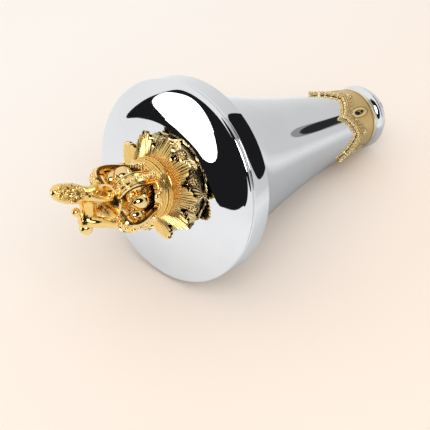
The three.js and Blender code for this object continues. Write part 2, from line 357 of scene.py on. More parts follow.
# ---------------------------------------------------------------- gilded neck band
# A cast sleeve slipped over the neck. Its front edge is cut into five pointed leaves edged with
# small beads, each leaf is pierced by a slot, and a boss stands behind each valley between them.

GILT_PALE = (0.74, 0.52, 0.20, 1.0)
GILT_BRIGHT = (1.0, 0.79, 0.40, 1.0)
GILT_DEEP = (0.24, 0.11, 0.02, 1.0)


def gilt_finish(name, ground, deep, roughness, grain, grain_depth):
    """Gilding with patina and painted shade in its hollows, wear and painted highlight on its edges,
    brushed where satin.
    """
    finish = Finish(name)
    hollow = finish.attribute("hollow")
    satin = finish.attribute("satin")
    sunk = hollow.as_share()
    raised_edge = (0.0 - hollow).as_share()
    patches = finish.noise(260.0, 4.0, 0.6)
    fine = finish.noise(grain, 3.0, 0.6)
    # Hollows darken towards the deep colour, partly as patina and partly as painted shade; raised edges
    # lighten towards GILT_BRIGHT, partly as wear and partly as a painted highlight.
    shaded = (sunk * (0.55 + patches * 0.9)).at_most(1.0)
    wear_and_highlight = finish.blend(raised_edge, ground, GILT_BRIGHT)
    finish.set("Base Color", finish.blend(shaded, wear_and_highlight, deep))
    finish.set("Metallic", 1.0)
    soft = roughness + (patches - 0.5) * 0.12 + sunk * 0.14 + satin * 0.16
    finish.set("Roughness", (soft - raised_edge * 0.5 * roughness).at_least(0.04))
    finish.bump(fine, grain_depth)
    return finish.material


def mark_hollows(bm, passes, depth):
    """Stores how deep each corner lies below its surroundings: 1 in a hollow, -1 on an edge."""
    evened = bm.copy()
    for _ in range(passes):
        bmesh.ops.smooth_vert(
            evened, verts=evened.verts, factor=0.8, use_axis_x=True, use_axis_y=True, use_axis_z=True
        )
    bm.normal_update()
    hollow = bm.verts.layers.float.new("hollow")
    for corner, even in zip(bm.verts, evened.verts):
        sunk = (even.co - corner.co).dot(corner.normal) / depth
        corner[hollow] = max(-1.0, min(1.0, sunk))
    evened.free()


def mark_satin(bm, share):
    """Marks a part as brushed, by one share or by a function of place, so that it shines softly."""
    satin = bm.verts.layers.float.new("satin")
    for corner in bm.verts:
        corner[satin] = share(corner.co) if callable(share) else share


def sheet(across, along, shape):
    """A grid of cells whose corners stand where shape(u, v) says, u and v running from 0 to 1."""
    bm = bmesh.new()
    bmesh.ops.create_grid(bm, x_segments=across, y_segments=along, size=0.5)
    for corner in bm.verts:
        corner.co = shape(corner.co.x + 0.5, corner.co.y + 0.5)
    return bm


def thickened(bm, thickness):
    """Gives a sheet its thickness, on the side that its faces turn away from."""
    bmesh.ops.remove_doubles(bm, verts=bm.verts, dist=0.003)
    bmesh.ops.recalc_face_normals(bm, faces=bm.faces)
    bmesh.ops.solidify(bm, geom=bm.faces[:], thickness=thickness)
    return bm


def fused(parts):
    """One bmesh holding several."""
    whole = bmesh.new()
    for part in parts:
        mesh = bpy.data.meshes.new("part")
        part.to_mesh(mesh)
        part.free()
        whole.from_mesh(mesh)
        bpy.data.meshes.remove(mesh)
    return whole


def bead(bm, centre, radius, detail=2):
    place = Matrix.Translation(centre)
    bmesh.ops.create_icosphere(bm, subdivisions=detail, radius=radius, matrix=place)


def ringed(bm, count):
    """Repeats a part about the axis."""
    whole = bm.verts[:] + bm.edges[:] + bm.faces[:]
    bmesh.ops.spin(
        bm,
        geom=whole,
        cent=(0, 0, 0),
        axis=(0, 0, 1),
        dvec=(0, 0, 0),
        angle=TAU * (count - 1) / count,
        steps=count - 1,
        use_merge=False,
        use_normal_flip=False,
        use_duplicate=True,
    )
    return bm


def across_leaf(angle, leaves, phase):
    """Where an angle falls on its leaf: 0 on the midrib, -1 and 1 in the valleys beside it."""
    turns = (angle - phase) * leaves / 360
    return (turns - round(turns)) * 2


def hump(distance, width):
    """A smooth rise of 1 that fades out at a width."""
    share = min(abs(distance) / width, 1.0)
    return (1 - share * share) ** 2


NECK_BAND = {
    "leaves": 5,
    "phase": 44.5,
    "tip": 141.5,
    "valley": 158.5,
    "rear": 182.3,
    "lift": 1.5,
    "thickness": 1.2,
    "slot": (164.2, 6.4, 2.0),
    "boss": (166.5, 1.6),
    "edge_bead": 1.0,
    "beads_per_flank": 9,
    "bead_lift": 0.7,
    "bead_crowding": 1.35,
    "lobes": 5,
    "nibble": 0.9,
}


def band_front(off_midrib):
    """Station of the band's leafy edge, nibbled into small lobes between tip and valley."""
    depth = NECK_BAND["valley"] - NECK_BAND["tip"]
    lobes = NECK_BAND["nibble"] * abs(math.sin(math.pi * NECK_BAND["lobes"] * off_midrib))
    return NECK_BAND["tip"] + depth * off_midrib**0.66 - lobes


def band_relief(across, station):
    """Height of the chasing: ribs and veins on each leaf, a rim around its slot, a cord behind."""
    leaf_width = flare_radius(station) * TAU / NECK_BAND["leaves"] / 2
    sideways = across * leaf_width
    slot_station, slot_length, slot_width = NECK_BAND["slot"]
    ring = math.hypot((station - slot_station) / slot_length, sideways / slot_width)
    rim = 0.5 * hump(ring - 1.3, 0.4)
    spine = 0.5 * hump(sideways, 0.9) * hump(station - 152, 11)
    inset = station - band_front(abs(across))
    edge_lobes = abs(math.sin(math.pi * NECK_BAND["lobes"] * abs(across)))
    border = 0.3 * edge_lobes * hump(inset - 1.4, 1.4) + 0.35 * hump(inset - 4.2, 1.0)
    foliage = math.cos(TAU * inset / 2.3) * math.cos(TAU * sideways / 2.6)
    veins = 0.6 * foliage * hump(inset - 7.5, 7.0)
    cord = 0.45 * hump(station - (NECK_BAND["rear"] - 1.0), 1.0)
    boss_station, boss_size = NECK_BAND["boss"]
    beside = math.hypot(station - boss_station, (1 - abs(across)) * leaf_width)
    collar = 0.45 * hump(beside - boss_size * 1.15, 0.9)
    return rim + spine + border + veins + cord + collar


def neck_band():
    leaves, phase = NECK_BAND["leaves"], NECK_BAND["phase"]

    def shape(u, v):
        across = across_leaf(360 * u, leaves, phase)
        front = band_front(abs(across))
        station = front + (NECK_BAND["rear"] - front) * v
        radius = flare_radius(station) + NECK_BAND["lift"] + band_relief(across, station)
        return on_mace(station, radius, 360 * u)

    sleeve = sheet(600, 56, shape)
    slot_station, slot_length, slot_width = NECK_BAND["slot"]
    pierced = []
    for face in sleeve.faces:
        middle = face.calc_center_median()
        across = across_leaf(math.degrees(math.atan2(middle.y, middle.x)), leaves, phase)
        sideways = across * middle.xy.length * TAU / leaves / 2
        if math.hypot((middle.z - slot_station) / slot_length, sideways / slot_width) < 1:
            pierced.append(face)
    bmesh.ops.delete(sleeve, geom=pierced, context="FACES")
    thickened(sleeve, NECK_BAND["thickness"])
    beads = bmesh.new()
    count = NECK_BAND["beads_per_flank"]
    half_leaf = 180 / leaves
    for i in range(1 - count, count):
        off = (abs(i) / count) ** NECK_BAND["bead_crowding"]
        station = band_front(off)
        radius = flare_radius(station) + NECK_BAND["lift"] + NECK_BAND["bead_lift"]
        turn = math.copysign(off, i) * half_leaf
        size = NECK_BAND["edge_bead"] * (1.25 if i == 0 else 1.0)
        bead(beads, on_mace(station + 0.2, radius, phase + turn), size)
    boss_station, boss_size = NECK_BAND["boss"]
    boss_radius = flare_radius(boss_station) + NECK_BAND["lift"]
    bead(beads, on_mace(boss_station, boss_radius, phase + half_leaf), boss_size, 3)
    return fused([sleeve, ringed(beads, leaves)])


gilt_satin = gilt_finish("gilt_satin", GILT_PALE, GILT_DEEP, 0.34, 2600.0, 0.00012)
band_mesh = neck_band()
mark_hollows(band_mesh, 10, 0.1)
finished("leafed_neck_band", band_mesh, gilt_satin, "neck_band")

# ---------------------------------------------------------------- foliate base of the finial
# The lowest casting, screwed down on the dome. Ten ridged leaves droop from its waist to the
# chrome, with a rosette in a ring standing over each gap. The screw sits a little above the axis.

FINIAL_LIFT = 2.2
BASE = {"leaves": 10, "phase": 44.0, "top": -20.6, "waist": 17.0, "screw_hole": 2.6, "seat": 30}
BASE_LEAF = [(17.5, -20.2), (22.4, -20.6), (27.0, -18.0), (29.8, -14.0), (31.2, -10.9)]
ROSETTE = {
    "radius": 28.4,
    "station": -14.7,
    "ring": 3.3,
    "ring_wire": 0.75,
    "button": 1.15,
    "petals": 7,
    "petal": (1.85, 0.8),
    "facing": 122.0,
}


def base_leaf():
    half_turn = 180 / BASE["leaves"]

    def shape(u, v):
        across = 2 * u - 1
        radius, station = flowing(BASE_LEAF, v)
        width = 0.55 + 0.5 * math.sin(math.pi * min(v * 1.1, 1.0)) - 0.35 * v**6
        ribs = 0.45 * abs(math.cos(math.pi * across * 3.5)) * (0.3 + 0.7 * v)
        cup = -1.3 * across * across
        return on_mace(station - 0.5 * cup, radius + ribs + cup, half_turn * width * across)

    return ringed(thickened(sheet(42, 24, shape), 1.1), BASE["leaves"])


def rosette():
    """Petals about a button, in a raised ring, facing out from the axis."""
    size, wire = ROSETTE["ring"], ROSETTE["ring_wire"]
    turns = [TAU * i / 10 for i in range(11)]
    bm = spun([(wire * math.sin(t), size + wire * math.cos(t)) for t in turns], 28)
    bead(bm, (0, 0, 0.2), ROSETTE["button"], 3)
    out, petal = ROSETTE["petal"]
    for i in range(ROSETTE["petals"]):
        turn = TAU * i / ROSETTE["petals"]
        bead(bm, (out * math.cos(turn), out * math.sin(turn), 0), petal)
    facing = Matrix.Rotation(math.radians(ROSETTE["facing"]), 4, "Y")
    place = Matrix.Translation((ROSETTE["radius"], 0, ROSETTE["station"])) @ facing
    bmesh.ops.transform(bm, matrix=place, verts=bm.verts)
    return ringed(bm, BASE["leaves"])


def foliate_base():
    hole, waist, top = BASE["screw_hole"], BASE["waist"], BASE["top"]
    seat = dome_face(BASE["seat"])
    body = spun(
        [
            (dome_face(0) - 0.3, hole),
            (top, hole),
            (top, waist + 0.5),
            (top + 2.6, waist),
            (-16.2, 23.5),
            (-12.6, 28.4),
            (seat - 0.6, 29.2),
            (seat - 0.1, 28.2),
            (dome_face(0) - 0.3, 20.0),
            (dome_face(0) - 0.3, hole),
        ],
        160,
    )
    gap_turn = Matrix.Rotation(math.pi / BASE["leaves"], 4, "Z")
    rosettes = rosette()
    bmesh.ops.transform(rosettes, matrix=gap_turn, verts=rosettes.verts)
    return fused([body, base_leaf(), rosettes])


def paint_shade_towards_dome(bm, lowest):
    """Sets the corners turned towards the dome fully dark: painted shade for the back of the finial, which
    lies in its own shadow.
    """
    bm.normal_update()
    hollow = bm.verts.layers.float["hollow"]
    for corner in bm.verts:
        if corner.normal.z > lowest:
            corner[hollow] = 1.0


def on_finial(bm, turn=0.0):
    """Turns a casting to its place on the finial's screw."""
    place = Matrix.Translation((FINIAL_LIFT, 0, 0)) @ Matrix.Rotation(math.radians(turn), 4, "Z")
    bmesh.ops.transform(bm, matrix=place, verts=bm.verts)
    return bm


GILT_GOLD = (0.98, 0.65, 0.20, 1.0)
GILT_BASE_IN_SHADE = (0.60, 0.45, 0.22, 1.0)
GILT_BASE_PATINA_AND_SHADE = (0.24, 0.185, 0.10, 1.0)
GILT_BLACK_PATINA_AND_SHADE = (0.045, 0.034, 0.02, 1.0)
gilt_casting = gilt_finish("gilt_casting", GILT_GOLD, GILT_DEEP, 0.10, 1900.0, 0.00003)
# The base wears a darker copy of the gilding, painted shade for its low place against the dome.
gilt_shaded_base = gilt_finish("gilt_shaded_base", GILT_BASE_IN_SHADE, GILT_BASE_PATINA_AND_SHADE, 0.14, 1900.0, 0.00004)
base_mesh = on_finial(foliate_base(), BASE["phase"])
mark_hollows(base_mesh, 8, 0.24)
# Its back, turned towards the dome, gets full painted shade.
paint_shade_towards_dome(base_mesh, 0.8)
finished("foliate_base", base_mesh, gilt_shaded_base, "finial_base")

# ---------------------------------------------------------------- leaf collar
# A whorl of ten three-lobed leaves cast in one, nearly flat, with fine veins fanning out from the
# seat of the crown and a thick plain edge. It is held between the base and the crown.

COLLAR = {
    "leaves": 10,
    "phase": 8.0,
    "inner": 13.0,
    "seat": (18.6, -24.0),
    "tip": (34.8, -18.4),
    "droop": 1.5,
    "thickness": 2.5,
    "veins": 11,
    "vein_height": 0.6,
    "fine_veins": 180,
    "fine_height": 0.24,
    "crest": 1.1,
}


def lobe(across, centre, width):
    inside = 1 - ((across - centre) / width) ** 2
    return math.sqrt(inside) if inside > 0 else 0.0


def leaf_reach(across):
    """How far a collar leaf stands out at a share of its half width, valley to tip."""
    middle = lobe(across, 0, 0.36)
    beside = 0.76 * lobe(across, 0.34, 0.27)
    outer = 0.40 * lobe(across, 0.6, 0.24)
    return 0.43 + 0.57 * max(middle, beside, outer)


def collar_share(radius):
    return max(0.0, (radius - COLLAR["seat"][0]) / (COLLAR["tip"][0] - COLLAR["seat"][0]))


def collar_point(u, v):
    across = across_leaf(360 * u, COLLAR["leaves"], 0)
    seat_radius, seat_station = COLLAR["seat"]
    tip_radius, tip_station = COLLAR["tip"]
    edge = seat_radius + (tip_radius - seat_radius) * leaf_reach(abs(across))
    radius = COLLAR["inner"] + (edge - COLLAR["inner"]) * v
    outward = collar_share(radius)
    vein = abs(math.cos(math.pi * across * COLLAR["veins"] / 2)) ** 0.8
    fine = COLLAR["fine_height"] * math.cos(math.radians(360 * u * COLLAR["fine_veins"]))
    crest = COLLAR["crest"] * (1 - abs(across)) * outward**0.8
    height = fine + vein * (0.05 + COLLAR["vein_height"] * outward) + crest
    station = seat_station + (tip_station - seat_station) * outward ** COLLAR["droop"] - height
    return on_mace(station, radius, 360 * u)


def leaf_collar():
    whorl = sheet(1260, 34, collar_point)
    bmesh.ops.remove_doubles(whorl, verts=whorl.verts, dist=0.003)
    for face in whorl.faces:
        if face.normal.z > 0:
            face.normal_flip()
    bmesh.ops.solidify(whorl, geom=whorl.faces[:], thickness=COLLAR["thickness"])
    mark_satin(whorl, lambda place: max(0.0, 1 - 2.5 * collar_share(place.xy.length)))
    return whorl


collar_mesh = on_finial(leaf_collar(), COLLAR["phase"])
mark_hollows(collar_mesh, 6, 0.2)
# Its underside, turned towards the dome, gets full painted shade.
paint_shade_towards_dome(collar_mesh, 0.0)
gilt_veined = gilt_finish("gilt_veined", GILT_GOLD, GILT_BLACK_PATINA_AND_SHADE, 0.12, 1900.0, 0.00003)
finished("leaf_collar_casting", collar_mesh, gilt_veined, "leaf_collar")

# ---------------------------------------------------------------- crown
# Circlet, four arches and the plate under the lion are one casting. The arches are broad straps
# edged with rails and set with pearls; a jewel sits at each foot and a fleur stands between them.

CROWN = {"arches": 4, "phase": 30.0, "strap": (9.6, 9.2, 8.8), "thickness": 2.4}
ARCH_LINE = [
    (16.2, -32.0),
    (17.6, -38.0),
    (19.6, -44.0),
    (21.0, -50.5),
    (20.6, -55.8),
    (17.6, -58.9),
    (13.0, -59.2),
    (6.5, -59.2),
    (0.0, -59.2),
]


PEARLS = {"count": 14, "from": 0.10, "span": 0.74, "large": 0.17, "small": 0.10}


def strap_width(share):
    root, shoulder, boss = CROWN["strap"]
    if share < 0.7:
        return root + (shoulder - root) * share / 0.7
    return shoulder + (boss - shoulder) * (share - 0.7) / 0.3


def on_arch(share, across, rise):
    """A point over an arch at a share of its length: across in mm, rise from its middle."""
    radius, station = flowing(ARCH_LINE, share)
    ahead = flowing(ARCH_LINE, min(share + 0.01, 1.0)) - flowing(ARCH_LINE, max(share - 0.01, 0.0))
    outward = Vector((-ahead.y, ahead.x)).normalized()
    place = Vector((radius, station)) + outward * rise
    return Vector((place.x, across, place.y))


def arch():
    """A strap with a rail along each edge, a groove inside it and a row of pearls."""
    half_thickness = CROWN["thickness"] / 2

    def shape(u, v):
        across = 2 * u - 1
        flattened = 1 - max(0.0, (v - 0.72) / 0.28)
        rails = 0.55 * hump(abs(across) - 0.86, 0.14) + 0.3 * hump(abs(across) - 0.58, 0.12)
        scales = 0.22 * abs(math.sin(math.pi * v * 34)) * hump(abs(across) - 0.72, 0.1)
        bowed = 0.9 * across * across
        rise = half_thickness + (rails - scales) * flattened - bowed
        return on_arch(v, across * strap_width(v) / 2, rise)

    strap = thickened(sheet(36, 100, shape), CROWN["thickness"])
    count = PEARLS["count"]
    for i in range(1, count):
        share = PEARLS["from"] + PEARLS["span"] * i / count
        size = strap_width(share) * (PEARLS["large"] if i % 2 else PEARLS["small"])
        bead(strap, on_arch(share, 0, half_thickness - 0.2), size, 3)
    return strap


JEWEL = {"radius": 19.3, "station": -35.6, "facing": -100.0, "stone": 1.9}


def jewel():
    """A round stone in a collet at the foot of an arch."""
    collet = spun([(0.5, 0.0), (0.5, 2.6), (-0.5, 2.6), (-0.8, 2.1), (-0.2, 1.9), (-0.2, 0.0)], 28)
    bead(collet, (0, 0, -0.7), JEWEL["stone"], 4)
    facing = Matrix.Rotation(math.radians(JEWEL["facing"]), 4, "Y")
    place = Matrix.Translation((JEWEL["radius"], 0, JEWEL["station"])) @ facing
    bmesh.ops.transform(collet, matrix=place, verts=collet.verts)
    return collet


FLEUR = {"foot": (17.6, -33.6), "reach": 5.0, "depth": 1.9, "spread": 100.0, "ribs": 9}


def fleur():
    """A ribbed shell of three lobes, standing on the circlet between two arches."""
    foot_radius, foot_station = FLEUR["foot"]

    def shape(u, v):
        turn = math.radians(FLEUR["spread"]) * (2 * u - 1)
        lobes = 0.74 + 0.26 * abs(math.cos(1.5 * turn))
        out = FLEUR["reach"] * lobes * v
        ribs = 0.28 * v * abs(math.cos(turn * FLEUR["ribs"] / 2))
        height = FLEUR["depth"] * math.sqrt(max(0.0, 1 - v * v)) + ribs
        return Vector((foot_radius + height, out * math.sin(turn), foot_station - out * math.cos(turn)))

    shell = thickened(sheet(60, 18, shape), 0.9)
    for across in (-4.4, 4.4):
        bead(shell, (foot_radius + 0.4, across, foot_station + 0.4), 1.3, 3)
    return shell


CIRCLET = [(-23.9, 19.2), (-25.4, 19.1), (-27.8, 18.5), (-30.5, 18.0), (-32.4, 17.8), (-34.4, 17.5)]


def circlet():
    """The band of the crown, flared to the collar and brushed around its length."""

    def shape(u, v):
        station, radius = flowing(CIRCLET, v)
        brushed = 0.07 * math.cos(TAU * v * 11) + 0.03 * math.cos(TAU * (v * 5 + u * 40))
        steps = 0.35 * hump(v - 0.88, 0.07) + 0.3 * hump(v - 0.42, 0.06) + 0.3 * hump(v - 0.06, 0.06)
        return on_mace(station, radius + brushed + steps, 360 * u)

    band = thickened(sheet(320, 52, shape), 2.6)
    mark_satin(band, 0.5)
    return band


PLATE = {"radius": 10.4, "top": -60.45, "bulge": 3.2, "facet": 1.5, "dimple": 0.14}
PLATE_EDGE = [(-57.6, 0), (-57.4, 10.0), (-59.4, 11.4), (-60.3, 11.4), (-60.7, 10.9), (-60.5, 10.3)]


def plate():
    """The round ground that the lion stands on, domed and lightly dimpled by the hammer."""
    bm = spun(PLATE_EDGE, 96)
    top = bmesh.new()
    bmesh.ops.create_circle(top, segments=96, radius=PLATE["radius"], cap_ends=True)
    bmesh.ops.poke(top, faces=top.faces[:])
    for _ in range(4):
        bmesh.ops.subdivide_edges(top, edges=[e for e in top.edges if e.calc_length() > 0.5], cuts=1)
    for corner in top.verts:
        distances, _ = noise.voronoi(corner.co / PLATE["facet"])
        bulge = PLATE["bulge"] * (1 - (corner.co.xy.length / PLATE["radius"]) ** 2)
        dimple = PLATE["dimple"] * min(distances[1] - distances[0], 0.5)
        corner.co.z = PLATE["top"] - bulge - dimple
    return fused([bm, top])


def crown_casting():
    arches = CROWN["arches"]
    fleurs = fleur()
    half_gap = Matrix.Rotation(math.pi / arches, 4, "Z")
    bmesh.ops.transform(fleurs, matrix=half_gap, verts=fleurs.verts)
    around_axis = [ringed(arch(), arches), ringed(jewel(), arches), ringed(fleurs, arches)]
    return fused([circlet(), plate(), *around_axis])


crown_mesh = on_finial(crown_casting(), CROWN["phase"])
mark_hollows(crown_mesh, 6, 0.22)
finished("open_crown", crown_mesh, gilt_casting, "crown")

# ---------------------------------------------------------------- cap of the crown
# The cap inside the crown is gathered under the plate, and its eight puffs are burnished bright.

CAP_PROFILE = [(-23.9, 13.4), (-30, 13.0), (-36, 12.6), (-42, 13.2), (-48, 13.0), (-52, 9.0), (-53.4, 0.0)]
CAP_SHADE = 0.06
PUFF = {"count": 8, "radius": 13.3, "station": -46.6, "size": 5.4, "stretch": 1.15}


def crown_cap():
    steps = 60
    profile = [flowing(CAP_PROFILE, i / steps) for i in range(steps + 1)]
    body = spun([(-23.9, 0.0), *[(p.x, p.y) for p in profile]], 240)
    for corner in body.verts:
        turn = math.atan2(corner.co.y, corner.co.x)
        gathered = max(0.0, min(1.0, (-36 - corner.co.z) / 6))
        corner.co.xy *= 1 - 0.05 * gathered * abs(math.sin(turn * PUFF["count"] / 2))
        corner.co.xy *= 1 + 0.012 * gathered * math.cos(turn * PUFF["count"] * 5)
    mark_satin(body, 0.5)
    puff = bmesh.new()
    place = Matrix.Translation((PUFF["radius"], 0, PUFF["station"]))
    stretched = place @ Matrix.Diagonal((1, 1, PUFF["stretch"], 1))
    bmesh.ops.create_uvsphere(puff, u_segments=40, v_segments=28, radius=PUFF["size"], matrix=stretched)
    return fused([body, ringed(puff, PUFF["count"])])


GILT_BURNISHED = (0.95, 0.69, 0.30, 1.0)
gilt_polished = gilt_finish("gilt_polished", GILT_BURNISHED, GILT_DEEP, 0.05, 600.0, 0.00001)
cap_mesh = on_finial(crown_cap(), CROWN["phase"])
mark_hollows(cap_mesh, 4, 2.0)
# The body of the cap takes an even, slight painted shade; the puffs keep the patina and painted shade of
# their own hollows.
hollow_of_cap = cap_mesh.verts.layers.float["hollow"]
satin_of_cap = cap_mesh.verts.layers.float["satin"]
for corner in cap_mesh.verts:
    if corner[satin_of_cap] > 0:
        corner[hollow_of_cap] = CAP_SHADE
finished("burnished_cap", cap_mesh, gilt_polished, "crown_cap")

# ---------------------------------------------------------------- lion
# A crowned lion stands on the crown with its head turned. It is cast solid, then chased: the mane
# and head are stippled with curls, the body left smooth, the balls of tail and rump burnished.

LION = {"heading": -15.0, "stands_at": -60.9, "voxel": 0.42}

# Each limb is a row of stops (forward, left, up, radius) from the soles of the feet, in mm.
LION_LIMBS = {
    "torso": [(-8.0, 0, 16.8, 4.4), (-2.0, 0, 15.4, 4.4), (3.0, 0, 15.4, 4.6), (9.6, 0, 16.8, 5.2)],
    "brisket": [(9.8, 0, 15.0, 4.6), (9.7, 0.4, 9.6, 3.4), (8.8, 2.0, 5.6, 2.8)],
    "belly": [(-4.0, 0, 13.2, 3.6), (3.0, 0, 12.6, 3.8)],
    "mane": [(9.8, 0, 18.4, 5.5), (12.2, 0, 24.5, 6.1), (14.0, 0, 30.4, 6.2)],
    "head_and_crown": [(14.6, 0, 32.4, 5.8), (15.8, 0, 35.2, 5.3), (16.6, 0, 37.4, 3.8)],
    "muzzle": [(14.0, -2.0, 30.2, 3.8), (14.0, -4.9, 30.0, 2.9)],
    "tail": [
        (-8.6, 0, 19.6, 1.4),
        (-7.0, 0, 21.4, 1.2),
        (-3.4, -0.4, 22.0, 1.2),
        (-0.6, -0.8, 23.4, 1.4),
    ],
    "right_hind_leg": [
        (-6.8, -2.0, 15.6, 3.8),
        (-7.6, -4.8, 12.4, 3.5),
        (-9.0, -6.6, 7.0, 3.0),
        (-11.0, -8.2, 2.5, 2.2),
        (-8.8, -8.6, 1.8, 1.7),
    ],
    "left_hind_leg": [
        (-5.4, 2.0, 15.6, 3.8),
        (-3.0, 4.4, 10.6, 2.9),
        (-4.8, 5.4, 6.0, 2.2),
        (-5.8, 6.0, 2.1, 1.9),
        (-3.4, 6.2, 1.8, 1.7),
    ],
    "right_foreleg": [
        (9.0, -3.2, 16.4, 3.3),
        (6.4, -4.2, 11.0, 2.4),
        (4.6, -4.8, 5.0, 2.0),
        (4.4, -5.0, 2.1, 1.8),
        (6.6, -5.0, 1.8, 1.6),
    ],
    "left_foreleg": [
        (9.0, 3.2, 16.4, 3.3),
        (9.6, 4.2, 10.0, 2.3),
        (10.4, 5.0, 4.0, 1.9),
        (12.2, 5.4, 1.9, 1.7),
    ],
}
TAIL_TUFT = (1.4, -1.0, 24.9, 2.7)
RUMP = (-11.0, 0.0, 17.2, 4.2)
CURLS = [((13.6, -4.5, 27.5), 8.5, 1.3, 1.6), ((16.0, -3.0, 34.5), 6.5, 1.0, 1.3)]
THROAT = ((12.4, -5.4, 26.6), 4.4, 2.2)


def rounded_out(stops):
    """A limb as a row of balls close enough to run together."""
    bm = bmesh.new()
    length = sum((Vector(b[:3]) - Vector(a[:3])).length for a, b in zip(stops, stops[1:]))
    thinnest = min(stop[3] for stop in stops)
    count = max(6, math.ceil(length / (0.28 * thinnest)))
    for i in range(count + 1):
        stop = flowing(stops, i / count)
        place = Matrix.Translation(stop.xyz)
        bmesh.ops.create_uvsphere(bm, u_segments=14, v_segments=10, radius=stop.w, matrix=place)
    return bm


def melted(bm, voxel, smoothing):
    """Runs overlapping bodies together into one skin."""
    mesh = bpy.data.meshes.new("melting")
    bm.to_mesh(mesh)
    bm.free()
    body = bpy.data.objects.new("melting", mesh)
    bpy.context.scene.collection.objects.link(body)
    remesh = body.modifiers.new("melt", "REMESH")
    remesh.mode = "VOXEL"
    remesh.voxel_size = voxel
    smooth = body.modifiers.new("smooth", "SMOOTH")
    smooth.iterations = smoothing
    whole = body.evaluated_get(bpy.context.evaluated_depsgraph_get()).to_mesh()
    skin = bmesh.new()
    skin.from_mesh(whole)
    bpy.data.objects.remove(body)
    bpy.data.meshes.remove(mesh)
    return skin


def curled(bm, centre, reach, depth, size):
    """Chases curls into the skin around a centre."""
    bm.normal_update()
    for corner in bm.verts:
        near = hump((corner.co - Vector(centre)).length, reach)
        if near > 0:
            distances, _ = noise.voronoi(corner.co / size)
            curl = min(distances[1] - distances[0], 0.6) / 0.6
            corner.co += corner.normal * depth * min(1.0, near * 3) * (curl - 0.4)


def pressed_in(bm, centre, reach, depth):
    """Sinks a hollow into the skin around a centre."""
    bm.normal_update()
    for corner in bm.verts:
        corner.co -= corner.normal * depth * hump((corner.co - Vector(centre)).length, reach)


def lion():
    body = melted(fused([rounded_out(stops) for stops in LION_LIMBS.values()]), LION["voxel"], 6)
    for centre, reach, depth, size in CURLS:
        curled(body, centre, reach, depth, size)
    pressed_in(body, *THROAT)
    polished = bmesh.new()
    for forward, left, up, size in (TAIL_TUFT, RUMP):
        place = Matrix.Translation((forward, left, up))
        bmesh.ops.create_uvsphere(polished, u_segments=48, v_segments=32, radius=size, matrix=place)
    body = fused([body, polished])
    heading = math.radians(LION["heading"])
    forward = Vector((math.cos(heading), math.sin(heading), 0))
    up = Vector((0, 0, -1))
    left = up.cross(forward)
    turned = Matrix((forward, left, up)).transposed().to_4x4()
    standing = Matrix.Translation((0, 0, LION["stands_at"])) @ turned
    bmesh.ops.transform(body, matrix=standing, verts=body.verts)
    return body


lion_mesh = on_finial(lion())
mark_hollows(lion_mesh, 8, 0.35)
finished("crowned_lion", lion_mesh, gilt_casting, "lion")

# ---------------------------------------------------------------- table, light and viewpoint
# A plain pale table in soft studio light. The camera looks down on the finial from the front.

VIEW = {"azimuth": -46.234, "elevation": 39.116, "distance": 0.7531, "lens": 100.465}
AIM = seam + Vector((0.0064, -0.0264, -0.0167))


def pointing(azimuth, elevation):
    """Unit vector at an azimuth about +Z, measured from +X, and an elevation, in degrees."""
    turn = math.radians(azimuth)
    lift = math.radians(elevation)
    flat = math.cos(lift)
    return Vector((flat * math.cos(turn), flat * math.sin(turn), math.sin(lift)))


def around(outline, steps):
    """Points of the smooth loop through an outline's corners."""
    looped = [outline[-1], *outline, outline[0], outline[1]]
    spans = len(looped) - 1
    shares = [(1 + len(outline) * i / steps) / spans for i in range(steps)]
    return [flowing(looped, share) for share in shares]


def plain_material(name, colour, strength=None):
    """A flat colour for the studio's own things, giving light where it has a strength."""
    finish = Finish(name)
    finish.set("Base Color", colour)
    finish.matt()
    if strength is not None:
        finish.set("Base Color", (0.0, 0.0, 0.0, 1.0))
        finish.set("Emission Color", colour)
        finish.set("Emission Strength", strength)
    return finish.material


def stage_object(name, bm, material):
    mesh = bpy.data.meshes.new(name)
    bm.to_mesh(mesh)
    bm.free()
    thing = bpy.data.objects.new(name, mesh)
    thing.data.materials.append(material)
    bpy.context.scene.collection.objects.link(thing)
    return thing


def only_in_reflections(thing):
    thing.visible_camera = False
    thing.visible_diffuse = False
    thing.visible_shadow = False
    thing.visible_transmission = False
    thing.visible_volume_scatter = False


def neutral_table():
    """Darkened by a painted shadow under the neck, and fading away from the mace, where the even light of
    the walls takes over.
    """
    finish = Finish("neutral_table")
    aside = finish.node("ShaderNodeVectorMath", {"operation": "DISTANCE"}, {0: finish.place, 1: UNDER_NECK})
    near, far = UNDER_REACH
    painted_shadow = ((far - Value(finish, aside.outputs["Value"])) * (1 / (far - near))).as_share()
    finish.set("Base Color", finish.blend(painted_shadow, MIRRORED_COLOUR, UNDER_NECK_PAINTED_SHADOW))
    finish.matt()
    settings = {"operation": "LENGTH"}
    reach = Value(finish, finish.node("ShaderNodeVectorMath", settings, {0: finish.place}).outputs["Value"])
    near, far = TABLE_FADE
    finish.set("Alpha", ((far - reach) * (1 / (far - near))).as_share())
    return finish.material


def pale_table():
    """A warm white with painted light, whitest at the far side as though daylight fell there."""
    finish = Finish("pale_table")
    axes = finish.node("ShaderNodeSeparateXYZ", None, {0: finish.place})
    near, far = TABLE_SPAN
    share = ((Value(finish, axes.outputs["Y"]) - near) * (1 / (far - near))).as_share()
    finish.set("Base Color", finish.blend(share, TABLE_COLOUR, TABLE_FAR_PAINTED_LIGHT))
    finish.matt()
    return finish.material


def table():
    """The pale table, and a neutral twin just over it that only the polished metal mirrors."""
    top, twin = bmesh.new(), bmesh.new()
    for bm in (top, twin):
        bmesh.ops.create_grid(bm, x_segments=1, y_segments=1, size=4.0)
    stage_object("table", top, pale_table()).visible_glossy = False
    bmesh.ops.translate(twin, verts=twin.verts, vec=(0, 0, 0.0002))
    only_in_reflections(stage_object("mirrored_table", twin, neutral_table()))


